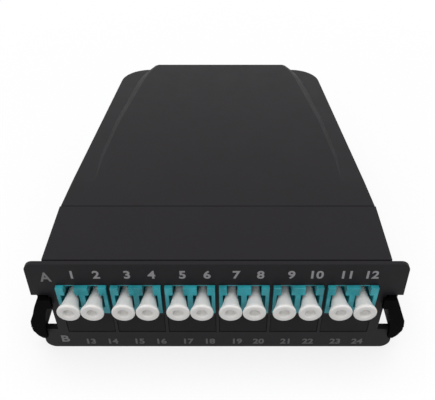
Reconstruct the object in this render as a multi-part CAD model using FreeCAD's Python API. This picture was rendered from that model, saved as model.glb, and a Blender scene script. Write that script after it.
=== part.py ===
import FreeCAD, Part
import math
import os

# Fibre breakout cassette: a black moulded housing with a row of duplex ports on its front frame and
# one multi-fibre port at the back. Millimetres. X runs along the front, Y goes from the front face
# towards the back, Z is up, and the origin is on the underside, below the middle of the front face.

V = FreeCAD.Vector

# Small round details are drawn with flats, to keep the many copies of them light
FLATS = 12
CAP_FLATS = 18

# Front frame
HEIGHT = 34.2
EAR_HALF = 48.25
EAR_FOOT_HALF = 48.65
EAR_BOTTOM = 22.6
NOTCH_HALF = 44.3
LOWER_BAR_HALF = 48.85
LOWER_BAR_TOP = 8.1
LOWER_BAR = 1.9
PLATE = 1.2
PLATE_GROOVE = 0.45
PLATE_GROOVE_DEPTH = 0.3
BODY_HALF = 43.9
HOOD_DEPTH = 22.0
WALL = 1.8
TOP_CORNER_R = 2.2
BOTTOM_CORNER_R = 2.8

# Port rows
DUPLEX_PITCH = 14.0
DUPLEX_COUNT = 6
PORT_PITCH = 6.25
UPPER_ROW_Z = 21.3
LOWER_ROW_Z = 10.6
WINDOW_CLEARANCE = 0.1

# Duplex adapter
ADAPTER_HALF = 6.5
ADAPTER_TOP = 26.4
ADAPTER_BOTTOM = 16.5
ADAPTER_FRONT = -1.1
ADAPTER_BACK = 22.0
ADAPTER_FLANGE_HALF = 6.85
ADAPTER_FLANGE = 1.2
PORT_HALF = 2.4
BLOCK_FRONT = 5.6
BLOCK_BACK = 17.0
SLEEVE_BORE_R = 0.83
LATCH_SLOT = 2.7
LATCH_SLOT_BACK = 5.0

# Split sleeve, connector and dust cap that meet in each port
SLEEVE_R = 0.8
SLEEVE_INNER_R = 0.625
SLEEVE_FRONT = 6.0
SLEEVE_BACK = 16.6
SLEEVE_SLIT = 0.3
FERRULE_R = 0.6
FERRULE_TIP = 11.4
PLUG_HALF = 2.25
PLUG_FRONT = 17.3
PLUG_BACK = 27.5
BOOT_BACK = 33.5
CAP_STUB_R = 0.58
CAP_STUB_TIP = 10.8
CAP_THROAT_R = 1.05
CAP_THROAT_Y = 5.2
CAP_NECK_R = 1.5
CAP_NECK_Y = 0.6
CAP_FLARE_R = 2.15
CAP_FLARE_Y = -2.8
CAP_RIM_R = 2.97
CAP_RIM_Y = -4.5
CAP_END_Y = -5.15
CAP_DIMPLE_R = 1.35
CAP_DIMPLE_DEPTH = 0.6

# Blank that closes a duplex position of the lower row
BLANK_HALF_Z = 3.7
BLANK_DEPTH = 7.0

# Rear housing
SEAM_GAP = 0.35
BACK = 107.6
REAR_HALF_FRONT = 43.7
REAR_HALF_BACK = 37.05
REAR_CORNER_R = 10.0
SPLIT_Z = 20.0
SHOULDER_START_Y = 30.0
SHOULDER_DROP = 2.3
PLATEAU_FLANK_SLOPE = 1.3
PLATEAU_CREASE = 0.5
PLATEAU_CREASE_SLOPE = 3.0
PLATEAU_EDGE = [
    (37.0, 14.0),
    (37.0, 30.0),
    (36.3, 46.0),
    (34.0, 67.5),
    (31.3, 84.0),
    (28.9, 97.0),
    (27.4, 102.5),
    (25.2, 107.0),
]
LIP = 6.0
LIP_THICK = 1.4
LIP_GAP = 0.1

# Screws
SCREW_X = 24.0
SCREW_Y = 99.0
SCREW_R = 1.1
SCREW_HEAD_R = 2.3
SCREW_HEAD = 1.4
POST_HALF = 3.1

# Multi-fibre port at the back and the fibre inside
MPO_HALF_X = 6.4
MPO_HALF_Z = 4.7
MPO_FRONT = 93.6
MPO_BACK = 118.6
MPO_CAVITY_X = 5.2
MPO_CAVITY_Z = 3.7
MPO_FLANGE_X = 10.9
MPO_FLANGE_Z = 5.6
MPO_FLANGE = 1.5
MPO_STOP_FRONT = 104.0
MPO_STOP_BACK = 105.6
RIBBON_HALF_X = 1.55
RIBBON_HALF_Z = 0.3
FANOUT_FRONT = 66.0
FANOUT_BACK = 76.0
FANOUT_HALF_X = 6.4
FANOUT_HALF_Z = 1.6
TAIL_PITCH = 0.95
TAIL_HALF = 0.25
TAIL_BEND_R = 8.0

# Side latches and their hangers, drawn for the side at +X
LATCH_AXIS_X = 46.1
LATCH_AXIS_Z = 20.4
LATCH_BARREL_R = 1.3
LATCH_SOCKET_R = 1.37
LATCH_BARREL_FRONT = 2.0
LATCH_BARREL_BACK = 7.6
LATCH_ARM_FRONT = -1.5
LATCH_ARM_BACK = 6.2
LATCH_CHEEK_BACK = 1.1
LATCH_TOP = 22.2
LATCH_SHOULDER = 18.8
LATCH_REAR_TOP = 17.6
LATCH_FLAP_IN = 43.5
LATCH_NECK = 1.3
LATCH_LIP_BACK = -0.4
LATCH_LIP_TOP = 9.2
LATCH_RIDGE_R = 0.35
LATCH_RIDGES = [9.4, 10.6, 11.8, 13.0]
HANGER_FRONT = 1.5
HANGER_IN = 43.0
HANGER_OUT = 47.9
HANGER_BOTTOM = 18.0
HANGER_TOP = 27.0


def box(x0, x1, y0, y1, z0, z1):
    return Part.makeBox(x1 - x0, y1 - y0, z1 - z0, V(x0, y0, z0))


def rod_y(x, z, radius, y0, y1):
    return Part.makeCylinder(radius, y1 - y0, V(x, y0, z), V(0, 1, 0))


def rod_z(x, y, radius, z0, z1):
    return Part.makeCylinder(radius, z1 - z0, V(x, y, z0), V(0, 0, 1))


def ring_y(x, z, radius, y, flats):
    turns = [2 * math.pi * (i + 0.5) / flats for i in range(flats)]
    return [V(x + radius * math.cos(t), y, z + radius * math.sin(t)) for t in turns]


def flat_sided_y(x, z, radius, y0, y1):
    """Bar along Y with twelve flats, its corners on the radius."""
    return prism(ring_y(x, z, radius, y0, FLATS), V(0, y1 - y0, 0))


def flat_sided_z(x, y, radius, z0, z1):
    bar = flat_sided_y(0, 0, radius, 0, z1 - z0)
    bar.rotate(V(0, 0, 0), V(1, 0, 0), 90)
    return bar.translated(V(x, y, z0))


def stacked(rings):
    """Solid with flat faces between successive rings of points, closed at both ends."""
    faces = [Part.Face(polygon(rings[0])), Part.Face(polygon(rings[-1]))]
    for near, far in zip(rings, rings[1:]):
        for i in range(len(near)):
            j = (i + 1) % len(near)
            faces.append(Part.Face(polygon([near[i], near[j], far[j], far[i]])))
    shell = Part.makeShell(faces)
    shell.sewShape()
    return Part.makeSolid(shell)


def turned_y(profile, flats):
    """Solid turned about the Y axis from (radius, y) points, in flat facets."""
    return stacked([ring_y(0, 0, radius, y, flats) for radius, y in profile])


def around(radius):
    """Corner radius of a flat-sided hole whose flats stand off the radius."""
    return radius / math.cos(math.pi / FLATS)


def tapered_y(y0, half_x0, half_z0, y1, half_x1, half_z1):
    """Four-sided frustum about the Y axis."""
    return Part.makeWedge(-half_x0, y0, -half_z0, -half_z1, -half_x1, half_x0, y1, half_z0, half_z1, half_x1)


def polygon(points):
    return Part.makePolygon(points + [points[0]])


def prism(points, direction):
    return Part.Face(polygon(points)).extrude(direction)


def cut_all(shape, tools):
    for tool in tools:
        shape = shape.cut(tool)
    return shape


def fuse_all(shapes):
    result = shapes[0]
    for shape in shapes[1:]:
        result = result.fuse(shape)
    return result.removeSplitter()


def mirrored(shape):
    return shape.mirror(V(0, 0, 0), V(1, 0, 0))


def duplex_centres():
    first = -DUPLEX_PITCH * (DUPLEX_COUNT - 1) / 2
    return [first + DUPLEX_PITCH * i for i in range(DUPLEX_COUNT)]


def port_centres():
    offsets = (-PORT_PITCH / 2, PORT_PITCH / 2)
    return [x + offset for x in duplex_centres() for offset in offsets]


def fillet_where(shape, radius, test):
    return shape.makeFillet(radius, [edge for edge in shape.Edges if test(edge)])


def along(edge, axis):
    ends = edge.Vertexes
    if len(ends) < 2:
        return False
    run = ends[1].Point.sub(ends[0].Point)
    return abs(abs(run.dot(axis)) - run.Length) < 1e-6


def face_plate():
    """The T-ended plate: ears at the top, a notch each side for the latch, a bar along the bottom."""
    right = [(NOTCH_HALF, 0), (NOTCH_HALF, EAR_BOTTOM), (EAR_FOOT_HALF, EAR_BOTTOM), (EAR_HALF, HEIGHT)]
    left = [(-x, z) for x, z in reversed(right)]
    plate = prism([V(x, 0, z) for x, z in right + left], V(0, PLATE, 0))
    bar = box(-LOWER_BAR_HALF, LOWER_BAR_HALF, 0, LOWER_BAR, 0, LOWER_BAR_TOP)

    def corner_at(edge, z):
        return along(edge, V(0, 1, 0)) and abs(edge.CenterOfMass.z - z) < 0.1

    plate = fillet_where(plate, TOP_CORNER_R, lambda edge: corner_at(edge, HEIGHT))
    bar = fillet_where(bar, BOTTOM_CORNER_R, lambda edge: corner_at(edge, 0))
    return plate.fuse(bar)


def latch_hanger():
    """Block behind the ear and the socket cut in it: round for the barrel, open below for the neck."""
    y1 = LATCH_BARREL_BACK + 0.2
    lower = box(HANGER_IN, HANGER_OUT, HANGER_FRONT, y1, HANGER_BOTTOM, EAR_BOTTOM + 1)
    upper = box(HANGER_IN, HANGER_OUT, PLATE - 0.2, y1, EAR_BOTTOM, HANGER_TOP)
    front = LATCH_BARREL_FRONT - 0.1
    bore = rod_y(LATCH_AXIS_X, LATCH_AXIS_Z, LATCH_SOCKET_R, front, y1 + 1)
    mouth_in = LATCH_AXIS_X - 1.35
    mouth_out = LATCH_AXIS_X + 0.85
    mouth = box(mouth_in, mouth_out, front, y1 + 1, HANGER_BOTTOM - 1, LATCH_AXIS_Z)
    return lower.fuse(upper), bore.fuse(mouth)


def front_frame():
    """Face plate and hood in one moulding: a tube open at the back, with a latch socket each side."""
    hood = box(-BODY_HALF, BODY_HALF, PLATE - 0.5, HOOD_DEPTH, 0, HEIGHT)
    inside = box(-BODY_HALF + WALL, BODY_HALF - WALL, PLATE, HOOD_DEPTH + 1, WALL, HEIGHT - WALL)
    hanger, socket = latch_hanger()
    frame = fuse_all([face_plate(), hood, hanger, mirrored(hanger)])
    top = HEIGHT - PLATE_GROOVE_DEPTH
    groove = box(-EAR_HALF, EAR_HALF, PLATE, PLATE + PLATE_GROOVE, top, HEIGHT + 1)
    frame = cut_all(frame, [inside, socket, mirrored(socket), groove])
    half = ADAPTER_HALF + WINDOW_CLEARANCE
    for x in duplex_centres():
        low = ADAPTER_BOTTOM - WINDOW_CLEARANCE
        high = ADAPTER_TOP + WINDOW_CLEARANCE
        frame = frame.cut(box(x - half, x + half, -1, PLATE + 1, low, high))
        low = LOWER_ROW_Z - BLANK_HALF_Z - WINDOW_CLEARANCE
        high = LOWER_ROW_Z + BLANK_HALF_Z + WINDOW_CLEARANCE
        frame = frame.cut(box(x - half, x + half, -1, PLATE + 1, low, high))
    return frame


def duplex_adapter():
    """Two back-to-back sockets with a sleeve bore between them, held by a flange behind the plate."""
    z0 = ADAPTER_BOTTOM
    z1 = ADAPTER_TOP
    body = box(-ADAPTER_HALF, ADAPTER_HALF, ADAPTER_FRONT, ADAPTER_BACK, z0, z1)
    flange_y = PLATE + 0.1
    half = ADAPTER_FLANGE_HALF
    flange = box(-half, half, flange_y, flange_y + ADAPTER_FLANGE, z0 - 0.9, z1 + 0.9)
    adapter = body.fuse(flange)
    for x in (-PORT_PITCH / 2, PORT_PITCH / 2):
        low = UPPER_ROW_Z - PORT_HALF
        high = UPPER_ROW_Z + PORT_HALF
        front = box(x - PORT_HALF, x + PORT_HALF, ADAPTER_FRONT - 1, BLOCK_FRONT, low, high)
        back = box(x - PORT_HALF, x + PORT_HALF, BLOCK_BACK, ADAPTER_BACK + 1, low, high)
        bore = flat_sided_y(x, UPPER_ROW_Z, around(SLEEVE_BORE_R), BLOCK_FRONT - 1, BLOCK_BACK + 1)
        side = LATCH_SLOT / 2
        slot = box(x - side, x + side, ADAPTER_FRONT - 1, 0.2, UPPER_ROW_Z, z1 + 1)
        keyway = box(x - side, x + side, 0, LATCH_SLOT_BACK, UPPER_ROW_Z, z1 - 0.5)
        adapter = cut_all(adapter, [front, back, bore, slot, keyway])
    return adapter.removeSplitter()


def port_blank():
    """Snap-in blank: a front panel nearly flush with the plate, a flange and a hollow back."""
    z0 = LOWER_ROW_Z - BLANK_HALF_Z
    z1 = LOWER_ROW_Z + BLANK_HALF_Z
    body = box(-ADAPTER_HALF, ADAPTER_HALF, 0.1, BLANK_DEPTH, z0, z1)
    flange_y = PLATE + 0.1
    half = ADAPTER_FLANGE_HALF
    flange = box(-half, half, flange_y, flange_y + ADAPTER_FLANGE, z0 - 0.9, z1 + 0.9)
    hollow = box(-ADAPTER_HALF + 1.2, ADAPTER_HALF - 1.2, 1.7, BLANK_DEPTH + 1, z0 + 1.2, z1 - 1.2)
    return body.fuse(flange).cut(hollow).removeSplitter()


def split_sleeve():
    tube = flat_sided_y(0, 0, SLEEVE_R, SLEEVE_FRONT, SLEEVE_BACK)
    inner = flat_sided_y(0, 0, around(SLEEVE_INNER_R), SLEEVE_FRONT - 1, SLEEVE_BACK + 1)
    slit = box(-SLEEVE_SLIT / 2, SLEEVE_SLIT / 2, SLEEVE_FRONT - 1, SLEEVE_BACK + 1, 0, 2)
    return cut_all(tube, [inner, slit])


def connector():
    """Connector seated in the back of a port: ferrule, square body and tapered boot."""
    ferrule = flat_sided_y(0, 0, FERRULE_R, FERRULE_TIP, PLUG_FRONT + 1)
    body = box(-PLUG_HALF, PLUG_HALF, PLUG_FRONT, PLUG_BACK, -PLUG_HALF, PLUG_HALF)
    boot = tapered_y(PLUG_BACK, 1.5, 1.5, BOOT_BACK, 0.7, 0.7)
    return fuse_all([body, ferrule, boot])


def dust_cap():
    """Trumpet-shaped cap turned about the port's axis: stub, flare, rim and a dimpled end."""
    profile = [
        (CAP_STUB_R, CAP_STUB_TIP),
        (CAP_STUB_R, CAP_THROAT_Y + 0.1),
        (CAP_THROAT_R, CAP_THROAT_Y),
        (CAP_NECK_R, CAP_NECK_Y),
        (CAP_FLARE_R, CAP_FLARE_Y),
        (CAP_RIM_R, CAP_RIM_Y),
        (CAP_RIM_R, CAP_END_Y),
    ]
    dimple = flat_sided_y(0, 0, CAP_DIMPLE_R, CAP_END_Y - 1, CAP_END_Y + CAP_DIMPLE_DEPTH)
    return turned_y(profile, CAP_FLATS).cut(dimple)


def at_port(shape, x):
    return shape.translated(V(x, 0, UPPER_ROW_Z))


def rear_outline(inset, z, front=HOOD_DEPTH + SEAM_GAP):
    """Plan outline of the rear housing, tapering to rounded back corners, moved in by inset."""
    half_front = REAR_HALF_FRONT - inset
    half_back = REAR_HALF_BACK - inset
    back = BACK - inset
    points = [(-half_front, front), (half_front, front), (half_back, back), (-half_back, back)]
    return polygon([V(x, y, z) for x, y in points])


def rear_block(inset, z0, z1, front=HOOD_DEPTH + SEAM_GAP):
    block = Part.Face(rear_outline(inset, z0, front)).extrude(V(0, 0, z1 - z0))

    def back_corner(edge):
        return along(edge, V(0, 0, 1)) and edge.CenterOfMass.y > BACK - 20

    return fillet_where(block, REAR_CORNER_R - inset, back_corner)


def plateau(inset):
    """Raised middle of the cover: bowed edges, sloping flanks, an eased crease, cut-off back corners."""

    def outline(drop, spread):
        right = [V(x + spread - inset, y, HEIGHT - drop) for x, y in PLATEAU_EDGE]
        right.append(right[-1] + V(-2.6, BACK - 101, 0))
        left = [V(-p.x, p.y, p.z) for p in reversed(right)]
        return right + left

    foot = SHOULDER_DROP + 1.7
    crease = PLATEAU_CREASE * PLATEAU_FLANK_SLOPE
    over = 3 * PLATEAU_CREASE * PLATEAU_CREASE_SLOPE
    rings = [
        outline(foot, foot * PLATEAU_FLANK_SLOPE),
        outline(PLATEAU_CREASE, crease),
        outline(-2 * PLATEAU_CREASE, crease - over),
    ]
    return stacked(rings)


def shoulder_space(inset):
    """What the shoulders leave free above them, either side of the plateau."""
    z = HEIGHT - inset
    end = BACK + 5
    low = z - SHOULDER_DROP * (end - SHOULDER_START_Y) / (BACK - SHOULDER_START_Y)
    wedge = prism([V(-60, SHOULDER_START_Y, z), V(-60, end, low), V(-60, end, z + 0.9)], V(120, 0, 0))
    above = box(-60, 60, SHOULDER_START_Y, end, z, z + 0.9)
    return wedge.fuse(above).cut(plateau(inset))


def tongue(z0, z1, wall_z):
    """Flat lip across the front of a rear shell that slides into the hood, rooted in the shell's wall."""
    half = BODY_HALF - WALL - LIP_GAP
    seam = HOOD_DEPTH + SEAM_GAP
    lip = box(-half, half, HOOD_DEPTH - LIP, seam + 1, z0, z1)
    root = box(-half, half, seam, seam + 3, min(z0, wall_z), max(z1, wall_z))
    return lip.fuse(root)


def screw_post(x, z0, z1):
    h = POST_HALF
    return box(x - h, x + h, SCREW_Y - h, SCREW_Y + h, z0, z1)


def top_cover():
    """Upper shell of the rear housing, with a lip that slides under the hood and two screw posts."""
    outer = rear_block(0, SPLIT_Z, HEIGHT - 0.1).cut(shoulder_space(0))
    inner = rear_block(WALL, SPLIT_Z - 1, HEIGHT - WALL, HOOD_DEPTH - 1).cut(shoulder_space(WALL))
    shell = outer.cut(inner)
    top = HEIGHT - WALL - LIP_GAP
    shell = shell.fuse(tongue(top - LIP_THICK, top, top + LIP_GAP + 0.5))
    for x in (-SCREW_X, SCREW_X):
        post = screw_post(x, SPLIT_Z - 6, HEIGHT - WALL + 0.3)
        pilot = flat_sided_z(x, SCREW_Y, around(SCREW_R), SPLIT_Z - 7, SPLIT_Z + 4)
        shell = shell.fuse(post.cut(pilot))
    return shell.removeSplitter()


def base_tray():
    """Lower shell: floor, walls up to the parting line, back wall with the port's window, saddle."""
    outer = rear_block(0, 0, SPLIT_Z)
    inner = rear_block(WALL, WALL, SPLIT_Z + 1)
    tray = outer.cut(inner)
    low = WALL + LIP_GAP
    tray = tray.fuse(tongue(low, low + LIP_THICK, low - LIP_GAP - 0.5))
    saddle_top = UPPER_ROW_Z - FANOUT_HALF_Z
    saddle = box(-5, 5, FANOUT_FRONT + 1, FANOUT_BACK - 1, WALL - 0.2, saddle_top)
    tray = tray.fuse(saddle)
    for x in (-SCREW_X, SCREW_X):
        tray = tray.fuse(screw_post(x, WALL - 0.2, SPLIT_Z - 6.1))
        tray = tray.cut(flat_sided_z(x, SCREW_Y, around(SCREW_R + 0.2), -1, SPLIT_Z))
        tray = tray.cut(rod_z(x, SCREW_Y, SCREW_HEAD_R + 0.2, -1, SCREW_HEAD + 0.2))
    return tray.removeSplitter()


def mpo_window():
    gap = WINDOW_CLEARANCE
    x = MPO_HALF_X + gap
    z = MPO_HALF_Z + gap
    return box(-x, x, BACK - 10, BACK + 5, UPPER_ROW_Z - z, UPPER_ROW_Z + z)


def mpo_adapter():
    """Straight-through port for the multi-fibre connector, with its flange on the back wall."""
    z = UPPER_ROW_Z
    body = box(-MPO_HALF_X, MPO_HALF_X, MPO_FRONT, MPO_BACK, z - MPO_HALF_Z, z + MPO_HALF_Z)
    y0 = BACK + 0.05
    flange = box(-MPO_FLANGE_X, MPO_FLANGE_X, y0, y0 + MPO_FLANGE, z - MPO_FLANGE_Z, z + MPO_FLANGE_Z)

    def end_corner(edge):
        return along(edge, V(0, 1, 0))

    adapter = body.fuse(flange.makeFillet(1.5, [e for e in flange.Edges if end_corner(e)]))
    cx = MPO_CAVITY_X
    cz = MPO_CAVITY_Z
    inner = box(-cx, cx, MPO_FRONT - 1, MPO_STOP_FRONT, z - cz, z + cz)
    outer = box(-cx, cx, MPO_STOP_BACK, MPO_BACK + 1, z - cz, z + cz)
    ferrule_window = box(-3.4, 3.4, MPO_FRONT, MPO_BACK, z - 1.5, z + 1.5)
    keyway = box(-1.4, 1.4, MPO_STOP_BACK, MPO_BACK + 1, z, z + MPO_HALF_Z + 1)
    keyway = keyway.cut(box(-5, 5, MPO_STOP_BACK - 1, BACK + 3, z + cz, z + 9))
    return cut_all(adapter, [inner, outer, ferrule_window, keyway])


def mpo_dust_cap():
    """Plug for the multi-fibre port: hollow stub, and a head wide enough to pull."""
    z = UPPER_ROW_Z
    gap = 0.15
    x = MPO_CAVITY_X - gap
    h = MPO_CAVITY_Z - gap
    stub = box(-x, x, MPO_BACK - 8, MPO_BACK + 1, z - h, z + h)
    head = box(-6.2, 6.2, MPO_BACK + 0.1, MPO_BACK + 3.4, z - 4.5, z + 4.5)
    head = fillet_where(head, 1.2, lambda e: along(e, V(0, 1, 0)))
    hollow = box(-x + 1.2, x - 1.2, MPO_BACK - 9, MPO_BACK + 1.6, z - h + 1.2, z + h - 1.2)
    return stub.fuse(head).cut(hollow).removeSplitter()


def mpo_plug():
    """Multi-fibre connector inside the housing: ferrule, body and a flat tapered boot."""
    z = UPPER_ROW_Z
    body = box(-4.9, 4.9, 88, MPO_STOP_FRONT - 0.3, z - 3.4, z + 3.4)
    ferrule = box(-3.2, 3.2, MPO_STOP_FRONT - 1, MPO_STOP_FRONT + 1.1, z - 1.25, z + 1.25)
    boot = tapered_y(83, 2.2, 1, 88, 4, 2.4).translated(V(0, 0, z))
    return fuse_all([body, ferrule, boot])


def ribbon_fibre():
    z = UPPER_ROW_Z
    return box(-RIBBON_HALF_X, RIBBON_HALF_X, FANOUT_BACK, 83, z - RIBBON_HALF_Z, z + RIBBON_HALF_Z)


def fanout_block():
    z = UPPER_ROW_Z
    x = FANOUT_HALF_X
    h = FANOUT_HALF_Z
    return box(-x, x, FANOUT_FRONT, FANOUT_BACK, z - h, z + h)


def tail_angle(sideways, forwards):
    """Turn of two equal opposite bends that carry a tail sideways while it runs forwards."""
    low = 0.0
    high = math.pi / 2
    for _ in range(60):
        angle = (low + high) / 2
        straight = (forwards - 2 * TAIL_BEND_R * math.sin(angle)) / math.cos(angle)
        reach = 2 * TAIL_BEND_R * (1 - math.cos(angle)) + straight * math.sin(angle)
        if reach < sideways:
            low = angle
        else:
            high = angle
    return angle


def fibre_tail(port_x, block_x):
    """One tail: straight out of the block, a bend, a straight run, the opposite bend, the boot."""
    z = UPPER_ROW_Z
    lead = 2.0
    start_y = FANOUT_FRONT - lead
    end_y = BOOT_BACK + lead
    side = 1 if port_x > block_x else -1
    angle = tail_angle(abs(port_x - block_x), start_y - end_y)
    r = TAIL_BEND_R

    def first_bend(a):
        return V(block_x + side * r * (1 - math.cos(a)), start_y - r * math.sin(a), z)

    def last_bend(a):
        return V(port_x - side * r * (1 - math.cos(a)), end_y + r * math.sin(a), z)

    a0 = V(block_x, FANOUT_FRONT, z)
    b0 = V(port_x, BOOT_BACK, z)
    path = Part.Wire(
        [
            Part.makeLine(a0, first_bend(0)),
            Part.Arc(first_bend(0), first_bend(angle / 2), first_bend(angle)).toShape(),
            Part.makeLine(first_bend(angle), last_bend(angle)),
            Part.Arc(last_bend(angle), last_bend(angle / 2), last_bend(0)).toShape(),
            Part.makeLine(last_bend(0), b0),
        ]
    )
    t = TAIL_HALF
    corners = [V(block_x + x, FANOUT_FRONT, z + h) for x, h in ((-t, -t), (t, -t), (t, t), (-t, t))]
    return path.makePipeShell([polygon(corners)], True, True)


def fibre_tails():
    ports = port_centres()
    middle = (len(ports) - 1) / 2
    tails = [fibre_tail(x, (i - middle) * TAIL_PITCH) for i, x in enumerate(ports)]
    return Part.makeCompound(tails)


def cover_screws():
    screws = []
    for x in (-SCREW_X, SCREW_X):
        head = rod_z(x, SCREW_Y, SCREW_HEAD_R, 0.1, SCREW_HEAD + 0.1)
        shank = flat_sided_z(x, SCREW_Y, SCREW_R, SCREW_HEAD, SPLIT_Z + 2)
        screws.append(fuse_all([head, shank]))
    return Part.makeCompound(screws)


def latch_arm():
    """Bowed arm seen from the front: outer side, rounded tip, inner side and cheek."""
    outer = Part.Arc(V(46.9, 0, LATCH_TOP), V(49.1, 0, 16.6), V(50.2, 0, 11.0)).toShape()
    tip = Part.Arc(V(50.2, 0, 11.0), V(50.0, 0, 8.0), V(48.4, 0, 6.0)).toShape()
    heel = Part.makeLine(V(48.4, 0, 6.0), V(47.2, 0, 6.2))
    toe = Part.makeLine(V(47.2, 0, 6.2), V(47.2, 0, LATCH_LIP_TOP))
    inner = Part.Arc(V(47.2, 0, LATCH_LIP_TOP), V(46.5, 0, 13.6), V(44.9, 0, LATCH_SHOULDER)).toShape()
    cheek = Part.makeLine(V(44.9, 0, LATCH_SHOULDER), V(44.9, 0, LATCH_TOP))
    top = Part.makeLine(V(44.9, 0, LATCH_TOP), V(46.9, 0, LATCH_TOP))
    profile = Part.Face(Part.Wire([outer, tip, heel, toe, inner, cheek, top]))
    profile.translate(V(0, LATCH_ARM_FRONT, 0))
    return profile.extrude(V(0, LATCH_ARM_BACK - LATCH_ARM_FRONT, 0))


def grip_pad():
    """Thicker patch near the arm's tip, grooved across for the finger."""
    outline = [(49.0, 13.9), (50.4, 13.6), (50.75, 11.2), (50.6, 9.2), (50.0, 8.3), (48.9, 8.3)]
    depth = V(0, LATCH_ARM_BACK - LATCH_ARM_FRONT, 0)
    pad = prism([V(x, LATCH_ARM_FRONT, z) for x, z in outline], depth)
    grooves = [rod_y(50.9, z, LATCH_RIDGE_R, LATCH_ARM_FRONT - 1, LATCH_ARM_BACK + 1) for z in LATCH_RIDGES]
    return cut_all(pad, grooves)


def latch():
    """Squeeze latch for the +X side: barrel and neck, arm with its grip, and a flap before the plate."""
    arm = fuse_all([latch_arm(), grip_pad()])
    behind = box(40, 60, LATCH_CHEEK_BACK, LATCH_ARM_BACK + 1, LATCH_REAR_TOP, LATCH_TOP + 1)
    above_bar = box(40, 60, LATCH_LIP_BACK, LATCH_ARM_BACK + 1, 0, LATCH_LIP_TOP)
    arm = cut_all(arm, [behind, above_bar])
    flap = box(LATCH_FLAP_IN, 45.0, LATCH_ARM_FRONT, LATCH_LIP_BACK, LATCH_SHOULDER, LATCH_TOP)
    half = LATCH_NECK / 2
    x = LATCH_AXIS_X
    barrel = rod_y(x, LATCH_AXIS_Z, LATCH_BARREL_R, LATCH_BARREL_FRONT, LATCH_BARREL_BACK)
    neck = box(x - half, x + half, LATCH_BARREL_FRONT, LATCH_ARM_BACK, LATCH_REAR_TOP - 0.8, LATCH_AXIS_Z)
    return fuse_all([arm, flap, barrel, neck])


def save(name, shape):
    solids = shape.Solids
    assert shape.isValid() and solids, name
    shape.exportStep(os.path.join("parts", name + ".step"))


def main():
    os.makedirs("parts", exist_ok=True)
    window = mpo_window()
    save("front_frame", front_frame())
    save("base_tray", base_tray().cut(window))
    save("top_cover", top_cover().cut(window))
    adapter = duplex_adapter()
    blank = port_blank()
    for i, x in enumerate(duplex_centres(), 1):
        save(f"lc_adapter_{i}", adapter.translated(V(x, 0, 0)))
        save(f"port_blank_{i}", blank.translated(V(x, 0, 0)))
    sleeve = split_sleeve()
    plug = connector()
    cap = dust_cap()
    for i, x in enumerate(port_centres(), 1):
        save(f"split_sleeve_{i}", at_port(sleeve, x))
        save(f"lc_plug_{i}", at_port(plug, x))
        save(f"dust_cap_{i}", at_port(cap, x))
    save("mpo_adapter", mpo_adapter())
    save("mpo_dust_cap", mpo_dust_cap())
    save("mpo_plug", mpo_plug())
    save("ribbon_fibre", ribbon_fibre())
    save("fanout_block", fanout_block())
    save("fibre_tails", fibre_tails())
    save("cover_screws", cover_screws())
    save("latch_right", latch())
    save("latch_left", mirrored(latch()))


main()
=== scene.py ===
import math

import bmesh
import bpy
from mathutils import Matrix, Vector


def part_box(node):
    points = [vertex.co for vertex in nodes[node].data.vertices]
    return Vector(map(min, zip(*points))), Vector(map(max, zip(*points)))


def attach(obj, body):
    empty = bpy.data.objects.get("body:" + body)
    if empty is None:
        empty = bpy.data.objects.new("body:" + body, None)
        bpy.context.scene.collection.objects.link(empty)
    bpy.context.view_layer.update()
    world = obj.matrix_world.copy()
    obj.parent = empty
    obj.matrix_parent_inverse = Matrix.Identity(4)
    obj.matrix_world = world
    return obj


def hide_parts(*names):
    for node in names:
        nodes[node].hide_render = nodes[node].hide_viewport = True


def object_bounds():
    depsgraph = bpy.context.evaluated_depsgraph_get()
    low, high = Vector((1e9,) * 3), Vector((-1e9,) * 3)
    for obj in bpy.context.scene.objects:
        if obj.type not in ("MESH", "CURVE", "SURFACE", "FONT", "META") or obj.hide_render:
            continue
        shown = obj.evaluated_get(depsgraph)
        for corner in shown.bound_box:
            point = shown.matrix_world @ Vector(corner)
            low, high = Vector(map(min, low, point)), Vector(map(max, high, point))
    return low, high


# Looks of the fibre breakout cassette. Lengths are in millimetres here and scaled by MM.
MM = 0.001

DUPLEX_COUNT = 6
PORT_COUNT = 12

# Print on the front frame: digit height and height above the underside
UPPER_DIGIT = 2.8
UPPER_DIGIT_Z = 30.3
LOWER_DIGIT = 2.3
LOWER_DIGIT_Z = 2.4
# Half the distance between a duplex adapter's two numbers
DIGIT_HALF_PITCH = 3.1
# The numbers stand right of their ports, and the upper row's right half a little less so
DIGIT_RIGHT = 1.4
DIGIT_RIGHT_UPPER_END = 0.95
# The lower row is spaced more closely left of the middle
LOWER_SQUEEZE = 0.985
# Row letters: X, Z and height
LETTER_A = (-43.5, 29.4, 3.4)
LETTER_B = (-43.2, 3.6, 2.89)
# Height of the font's em over the height of its digits
FONT_EM = 1.37
# How far the print stands off the frame, half its thickness, and how much its strokes are thickened
PRINT_LIFT = 0.03
PRINT_HALF_THICKNESS = 0.015
PRINT_BOLD = 0.11


# --- materials -------------------------------------------------------------------------------------


def link(tree, out_node, out_name, in_node, in_name):
    tree.links.new(out_node.outputs[out_name], in_node.inputs[in_name])


def noise(tree, coordinates, scale, detail):
    node = tree.nodes.new("ShaderNodeTexNoise")
    node.inputs["Scale"].default_value = scale
    node.inputs["Detail"].default_value = detail
    link(tree, coordinates, "Object", node, "Vector")
    return node


def spread(tree, source, low, high):
    """A noise's middle range spread from low to high."""
    node = tree.nodes.new("ShaderNodeMapRange")
    node.inputs["From Min"].default_value = 0.3
    node.inputs["From Max"].default_value = 0.7
    node.inputs["To Min"].default_value = low
    node.inputs["To Max"].default_value = high
    link(tree, source, "Fac", node, "Value")
    return node


GRAIN_DEPTH = 0.02
SHEEN_SPREAD = 0.03


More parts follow.
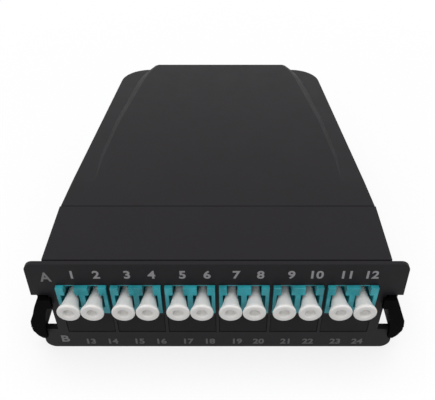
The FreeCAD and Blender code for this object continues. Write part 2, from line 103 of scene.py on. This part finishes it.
def plastic(name, colour, roughness, grain=9000, specular=0.5, soft=0.0, blotch=(60, 0.04)):
    """Moulded plastic: faint blotches in colour, uneven sheen, and a fine moulding grain.

    Grain and the first of blotch are noise scales per metre; the second of blotch is the colour's share
    of change. Soft is the share of light that goes under the surface.
    """
    material = bpy.data.materials.new(name)
    material.use_nodes = True
    tree = material.node_tree
    shader = tree.nodes["Principled BSDF"]
    shader.inputs["Specular IOR Level"].default_value = specular
    if soft:
        shader.inputs["Subsurface Weight"].default_value = soft
        shader.inputs["Subsurface Radius"].default_value = (0.8, 0.7, 0.6)
        shader.inputs["Subsurface Scale"].default_value = 0.0008
    coordinates = tree.nodes.new("ShaderNodeTexCoord")
    blotches = noise(tree, coordinates, blotch[0], 3)
    mix = tree.nodes.new("ShaderNodeMix")
    mix.data_type = "RGBA"
    mix.inputs["A"].default_value = (*[c * (1 - blotch[1]) for c in colour], 1)
    mix.inputs["B"].default_value = (*[min(1, c * (1 + blotch[1])) for c in colour], 1)
    link(tree, spread(tree, blotches, 0, 1), "Result", mix, "Factor")
    link(tree, mix, "Result", shader, "Base Color")
    sheen = noise(tree, coordinates, 220, 4)
    uneven = spread(tree, sheen, roughness - SHEEN_SPREAD, roughness + SHEEN_SPREAD)
    link(tree, uneven, "Result", shader, "Roughness")
    bump = tree.nodes.new("ShaderNodeBump")
    bump.inputs["Strength"].default_value = 0.35
    bump.inputs["Distance"].default_value = GRAIN_DEPTH * MM
    link(tree, noise(tree, coordinates, grain, 2), "Fac", bump, "Height")
    link(tree, bump, "Normal", shader, "Normal")
    return material


def paint(obj, material):
    obj.data.materials.clear()
    obj.data.materials.append(material)


# --- shapes ----------------------------------------------------------------------------------------


def new_mesh(name, mesh_maker):
    mesh = bpy.data.meshes.new(name)
    bm = bmesh.new()
    mesh_maker(bm)
    bm.normal_update()
    bm.to_mesh(mesh)
    bm.free()
    obj = bpy.data.objects.new(name, mesh)
    bpy.context.collection.objects.link(obj)
    return obj


def skin(rings):
    """Mesh maker for a smooth skin over rings of points, in millimetres; a ring of one point is a tip."""

    def make(bm):
        loops = [[bm.verts.new([c * MM for c in point]) for point in ring] for ring in rings]
        for near, far in zip(loops, loops[1:]):
            for i in range(max(len(near), len(far))):
                j = i + 1
                corners = [near[i % len(near)], near[j % len(near)], far[j % len(far)], far[i % len(far)]]
                bm.faces.new(list(dict.fromkeys(corners)))
        bmesh.ops.recalc_face_normals(bm, faces=bm.faces)
        for face in bm.faces:
            face.smooth = True

    return make


def circle(radius, steps):
    if radius == 0:
        return [(0, 0)]
    turns = [2 * math.pi * i / steps for i in range(steps)]
    return [(radius * math.cos(t), radius * math.sin(t)) for t in turns]


def hexagon(radius, steps):
    """Points evenly turned around a hexagon whose flats are at the radius."""
    points = []
    for i in range(steps):
        t = 2 * math.pi * i / steps
        reach = radius / math.cos(t % (math.pi / 3) - math.pi / 6)
        points.append((reach * math.cos(t), reach * math.sin(t)))
    return points


def soften(obj, width, segments=2, merge_flats=True):
    """Round an imported solid's edges without moving its mesh.

    Flat faces are merged first, except where a face has openings that merging would tear.
    """
    weld = obj.modifiers.new("Weld", "WELD")
    weld.merge_threshold = 0.000002
    if merge_flats:
        flat = obj.modifiers.new("Flat", "DECIMATE")
        flat.decimate_type = "DISSOLVE"
        flat.angle_limit = math.radians(0.5)
    bevel = obj.modifiers.new("Bevel", "BEVEL")
    bevel.width = width * MM
    bevel.segments = segments
    bevel.limit_method = "ANGLE"
    bevel.angle_limit = math.radians(35)
    bevel.harden_normals = True
    bevel.use_clamp_overlap = True


def centre(node):
    low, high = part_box(node)
    return [(a + b) / 2 for a, b in zip(low, high)]


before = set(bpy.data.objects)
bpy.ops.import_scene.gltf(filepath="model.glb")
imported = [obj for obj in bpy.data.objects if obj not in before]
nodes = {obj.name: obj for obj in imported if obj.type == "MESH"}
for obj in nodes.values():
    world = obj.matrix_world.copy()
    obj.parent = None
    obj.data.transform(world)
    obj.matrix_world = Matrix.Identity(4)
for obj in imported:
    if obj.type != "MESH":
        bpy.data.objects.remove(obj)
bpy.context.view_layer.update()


# --- finishes --------------------------------------------------------------------------------------

housing = plastic("housing_black", (0.0118, 0.0106, 0.0122), 0.45, specular=0.115)
# Front frame: the housing's black made a little darker and less shiny, as painted shade for the front
# face
front_shaded_black = plastic("front_shaded_black", (0.0112, 0.01, 0.0117), 0.45, specular=0.11)
# Latches: black plastic made far darker and less shiny than the housing, as painted shade for the
# shadowed arms
latch_black = plastic("latch_black", (0.0022, 0.0018, 0.0022), 0.55, specular=0.015)
blank_black = plastic("blank_black", (0.0084, 0.0076, 0.0088), 0.5, specular=0.085)
aqua = plastic("adapter_aqua", (0.028, 0.3, 0.35), 0.3, grain=4000, specular=0.3, blotch=(240, 0.3))
white = plastic("cap_white", (0.73, 0.72, 0.705), 0.6, grain=5000, specular=0.2, soft=0.25)
ceramic = plastic("sleeve_ceramic", (0.8, 0.79, 0.74), 0.2)
plug_blue = plastic("plug_aqua", (0.04, 0.36, 0.38), 0.3)
rear_black = plastic("rear_port_black", (0.015, 0.015, 0.017), 0.35)
rubber = plastic("rear_cap_black", (0.02, 0.02, 0.02), 0.6)
jacket = plastic("fibre_jacket", (0.04, 0.4, 0.42), 0.35)
grey = plastic("fanout_grey", (0.2, 0.2, 0.21), 0.45)
steel = plastic("screw_steel", (0.3, 0.3, 0.31), 0.3)
print_grey = plastic("print_grey", (0.25, 0.24, 0.25), 0.6)
print_faint = plastic("print_faint", (0.15, 0.145, 0.15), 0.6)
print_dim = plastic("print_dim", (0.08, 0.077, 0.08), 0.6)

FINISH = {
    "front_frame": front_shaded_black,
    "base_tray": housing,
    "top_cover": housing,
    "latch_": latch_black,
    "port_blank_": blank_black,
    "lc_adapter_": aqua,
    "dust_cap_": white,
    "split_sleeve_": ceramic,
    "lc_plug_": plug_blue,
    "mpo_adapter": rear_black,
    "mpo_dust_cap": rubber,
    "mpo_plug": plug_blue,
    "ribbon_fibre": jacket,
    "fibre_tails": jacket,
    "fanout_block": grey,
    "cover_screws": steel,
}
for name, obj in nodes.items():
    for prefix, material in FINISH.items():
        if name.startswith(prefix):
            paint(obj, material)


# --- rounded edges on the moulded parts --------------------------------------------------------------

soften(nodes["front_frame"], 0.2, merge_flats=False)
soften(nodes["top_cover"], 0.6, 3)
soften(nodes["base_tray"], 0.5)
for side in ("left", "right"):
    soften(nodes[f"latch_{side}"], 0.25)
soften(nodes["mpo_adapter"], 0.2)
soften(nodes["mpo_dust_cap"], 0.3)
for i in range(1, DUPLEX_COUNT + 1):
    soften(nodes[f"lc_adapter_{i}"], 0.15)
    soften(nodes[f"port_blank_{i}"], 0.06)


# --- dust caps ---------------------------------------------------------------------------------------

# Radius and Y along a dust cap, from the tip of its pin to the middle of its end face
CAP_PROFILE = [
    (0, 10.8),
    (0.5, 10.8),
    (0.58, 10.65),
    (0.58, 5.35),
    (1.04, 5.25),
    (1.14, 5.1),
    (1.26, 3.6),
    (1.42, 2.2),
    (1.57, 1.1),
    (1.71, 0.2),
    (1.87, -0.8),
    (2.05, -1.8),
    (2.25, -2.7),
    (2.48, -3.35),
    (2.7, -3.85),
    (2.9, -4.3),
    (3.0, -4.6),
    (3.01, -4.82),
    (2.93, -5.0),
    (2.76, -5.11),
    (2.5, -5.15),
    (1.66, -5.13),
    (1.42, -5.06),
    (1.32, -4.88),
    (1.24, -4.2),
    (1.16, -3.4),
    (1.0, -3.18),
    (0.5, -3.11),
    (0, -3.1),
]
# The pin is straight up to its shoulder; past it each soft trumpet leans sideways a little at the rim
CAP_SHOULDER = 5.25
CAP_REACH = 10.4
CAP_STEPS = 56
CAP_LEAN = [0.08, -0.08, 0.12, 0.08, 0.15, 0, -0.42, -0.55, -0.65, -0.25, -0.2, -0.2]


def dust_cap(index):
    node = f"dust_cap_{index}"
    low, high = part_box(node)
    rings = []
    for radius, y in CAP_PROFILE:
        lean = CAP_LEAN[index - 1] * max(0, CAP_SHOULDER - y) / CAP_REACH
        rings.append([(x + lean, y, z) for x, z in circle(radius, CAP_STEPS)])
    cap = new_mesh(f"cap_{index}_skin", skin(rings))
    cap.location = ((low[0] + high[0]) / 2, 0, (low[2] + high[2]) / 2)
    paint(cap, white)
    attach(cap, f"cap_{index}")
    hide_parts(node)


for i in range(1, PORT_COUNT + 1):
    dust_cap(i)


# --- cover screws --------------------------------------------------------------------------------------


SCREW_STEPS = 36
SCREW_SOCKET = 0.95
SCREW_SOCKET_DEPTH = 1.1
SCREW_HEAD_DEPTH = 1.4
SCREW_SHANK = 1.1


def cover_screw(name, x, y):
    """Screw seen from below: rounded head with a six-sided socket, and its shank."""
    low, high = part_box("cover_screws")
    head = (high[1] - low[1]) / 2 / MM
    bottom = low[2] / MM
    top = high[2] / MM
    # Outline of each ring, its radius and its height, from the socket's floor round to the shank's top
    outline = [
        (circle, 0, bottom + SCREW_SOCKET_DEPTH),
        (hexagon, SCREW_SOCKET, bottom + SCREW_SOCKET_DEPTH),
        (hexagon, SCREW_SOCKET, bottom + 0.15),
        (hexagon, SCREW_SOCKET + 0.1, bottom + 0.02),
        (circle, head - 0.55, bottom),
        (circle, head - 0.2, bottom + 0.12),
        (circle, head, bottom + 0.4),
        (circle, head, bottom + SCREW_HEAD_DEPTH),
        (circle, SCREW_SHANK, bottom + SCREW_HEAD_DEPTH),
        (circle, SCREW_SHANK, top),
        (circle, 0, top),
    ]
    rings = [[(a, b, z) for a, b in form(radius, SCREW_STEPS)] for form, radius, z in outline]
    screw = new_mesh(name, skin(rings))
    screw.location = (x, y, 0)
    edges = screw.modifiers.new("Edges", "EDGE_SPLIT")
    edges.split_angle = math.radians(50)
    paint(screw, steel)
    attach(screw, "cassette")
    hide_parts("cover_screws")


def cover_screws():
    low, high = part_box("cover_screws")
    radius = (high[1] - low[1]) / 2
    y = (low[1] + high[1]) / 2
    cover_screw("screw_left", low[0] + radius, y)
    cover_screw("screw_right", high[0] - radius, y)


cover_screws()


# --- port numbers ------------------------------------------------------------------------------------


def print_text(name, words, size, x, z, material, wide=1.0):
    """Words on the front face, centred on x and z in millimetres."""
    curve = bpy.data.curves.new(name, "FONT")
    curve.body = words
    curve.size = size * FONT_EM * MM
    curve.extrude = PRINT_HALF_THICKNESS * MM
    curve.offset = PRINT_BOLD * MM
    curve.align_x = "CENTER"
    curve.align_y = "CENTER"
    curve.resolution_u = 3
    obj = bpy.data.objects.new(name, curve)
    bpy.context.collection.objects.link(obj)
    obj.location = (x * MM, -PRINT_LIFT * MM, z * MM)
    obj.rotation_euler = (math.pi / 2, 0, 0)
    obj.scale.x = wide
    obj.data.materials.append(material)
    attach(obj, "cassette")


def port_numbers():
    for i in range(1, PORT_COUNT + 1):
        middle = centre(f"lc_adapter_{(i + 1) // 2}")[0] / MM
        side = -DIGIT_HALF_PITCH if i % 2 else DIGIT_HALF_PITCH
        right = DIGIT_RIGHT if i <= PORT_COUNT // 2 else DIGIT_RIGHT_UPPER_END
        print_text(f"number_{i}", str(i), UPPER_DIGIT, middle + side + right, UPPER_DIGIT_Z, print_grey)
        below = max(middle, middle * LOWER_SQUEEZE) + side + DIGIT_RIGHT
        print_text(f"number_{i + 12}", str(i + 12), LOWER_DIGIT, below, LOWER_DIGIT_Z, print_dim)


def row_letters():
    x, z, size = LETTER_A
    print_text("letter_a", "A", size, x, z, print_faint, 0.85)
    x, z, size = LETTER_B
    print_text("letter_b", "B", size, x, z, print_faint, 1.1)


port_numbers()
row_letters()


# --- floor, light and camera ---------------------------------------------------------------------------


FLOOR_GAP = 0.2
# Share of the floor's own shading that the camera sees under its white, fading out away from the object
FLOOR_SHADOW = 0.25


def seen_as(tree, lit, seen, output):
    """Light the object with one shader, and show another to the camera, to mirrors and through glass."""
    path = tree.nodes.new("ShaderNodeLightPath")
    either = None
    for ray in ("Is Camera Ray", "Is Glossy Ray", "Is Transmission Ray"):
        largest = tree.nodes.new("ShaderNodeMath")
        largest.operation = "MAXIMUM"
        if either:
            tree.links.new(either.outputs[0], largest.inputs[0])
        else:
            largest.inputs[0].default_value = 0
        tree.links.new(path.outputs[ray], largest.inputs[1])
        either = largest
    mix = tree.nodes.new("ShaderNodeMixShader")
    tree.links.new(either.outputs[0], mix.inputs[0])
    tree.links.new(lit.outputs[0], mix.inputs[1])
    tree.links.new(seen.outputs[0], mix.inputs[2])
    link(tree, mix, "Shader", output, "Surface")


def studio_floor():
    def make(bm):
        size = 3
        corners = ((-size, -size, 0), (size, -size, 0), (size, size, 0), (-size, size, 0))
        bm.faces.new([bm.verts.new(corner) for corner in corners])

    floor = new_mesh("floor", make)
    floor.location.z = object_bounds()[0][2] - FLOOR_GAP * MM
    material = bpy.data.materials.new("floor_paper")
    material.use_nodes = True
    tree = material.node_tree
    shader = tree.nodes["Principled BSDF"]
    shader.inputs["Base Color"].default_value = (0.4, 0.4, 0.4, 1)
    shader.inputs["Roughness"].default_value = 0.8
    white_paper = tree.nodes.new("ShaderNodeEmission")
    white_paper.inputs["Color"].default_value = (1, 1, 1, 1)
    shadow = tree.nodes.new("ShaderNodeBsdfDiffuse")
    shadow.inputs["Color"].default_value = (0.9, 0.9, 0.9, 1)
    shaded = tree.nodes.new("ShaderNodeMixShader")
    coordinates = tree.nodes.new("ShaderNodeTexCoord")
    distance = tree.nodes.new("ShaderNodeVectorMath")
    distance.operation = "LENGTH"
    link(tree, coordinates, "Object", distance, 0)
    fade = tree.nodes.new("ShaderNodeMapRange")
    fade.interpolation_type = "SMOOTHSTEP"
    fade.inputs["From Min"].default_value = 0.1
    fade.inputs["From Max"].default_value = 0.3
    fade.inputs["To Min"].default_value = 1 - FLOOR_SHADOW
    fade.inputs["To Max"].default_value = 1
    link(tree, distance, "Value", fade, "Value")
    link(tree, fade, "Result", shaded, 0)
    tree.links.new(shadow.outputs[0], shaded.inputs[1])
    tree.links.new(white_paper.outputs[0], shaded.inputs[2])
    seen_as(tree, shader, shaded, tree.nodes["Material Output"])
    paint(floor, material)


def soft_box(name, place, aim, size, power):
    """Area lamp at a place, turned to its aim; all in metres and watts."""
    lamp = bpy.data.lights.new(name, "AREA")
    lamp.shape = "RECTANGLE"
    lamp.size, lamp.size_y = size
    lamp.energy = power
    obj = bpy.data.objects.new(name, lamp)
    obj.location = place
    obj.rotation_euler = (Vector(aim) - Vector(place)).to_track_quat("-Z", "Y").to_euler()
    bpy.context.collection.objects.link(obj)


# Where the camera stands, and how far below level it looks
CAMERA_PLACE = (2.4, -94.4, 135.2)
CAMERA_PITCH = 40.3
LENS = 45.9
LENS_SHIFT = -0.0205


def camera():
    data = bpy.data.cameras.new("camera")
    data.sensor_width = 36
    data.lens = LENS
    data.shift_x = LENS_SHIFT
    obj = bpy.data.objects.new("camera", data)
    obj.location = [c * MM for c in CAMERA_PLACE]
    obj.rotation_euler = (math.radians(90 - CAMERA_PITCH), 0, 0)
    bpy.context.collection.objects.link(obj)
    bpy.context.scene.camera = obj


WORLD_STRENGTH = 0.5


def world_light():
    world = bpy.data.worlds.new("studio")
    world.use_nodes = True
    tree = world.node_tree
    lit = tree.nodes["Background"]
    lit.inputs["Color"].default_value = (1, 1, 1, 1)
    lit.inputs["Strength"].default_value = WORLD_STRENGTH
    seen = tree.nodes.new("ShaderNodeBackground")
    seen.inputs["Color"].default_value = (1, 1, 1, 1)
    seen_as(tree, lit, seen, tree.nodes["World Output"])
    bpy.context.scene.world = world


studio_floor()
world_light()
soft_box("sky_panel", (0, 0.05, 0.7), (0, 0.0, 0), (0.7, 0.5), 2.9)
soft_box("front_panel", (-0.1, -0.45, 0.5), (0, 0, 0.02), (0.4, 0.3), 1.2)
camera()
bpy.context.scene.view_settings.view_transform = "Standard"
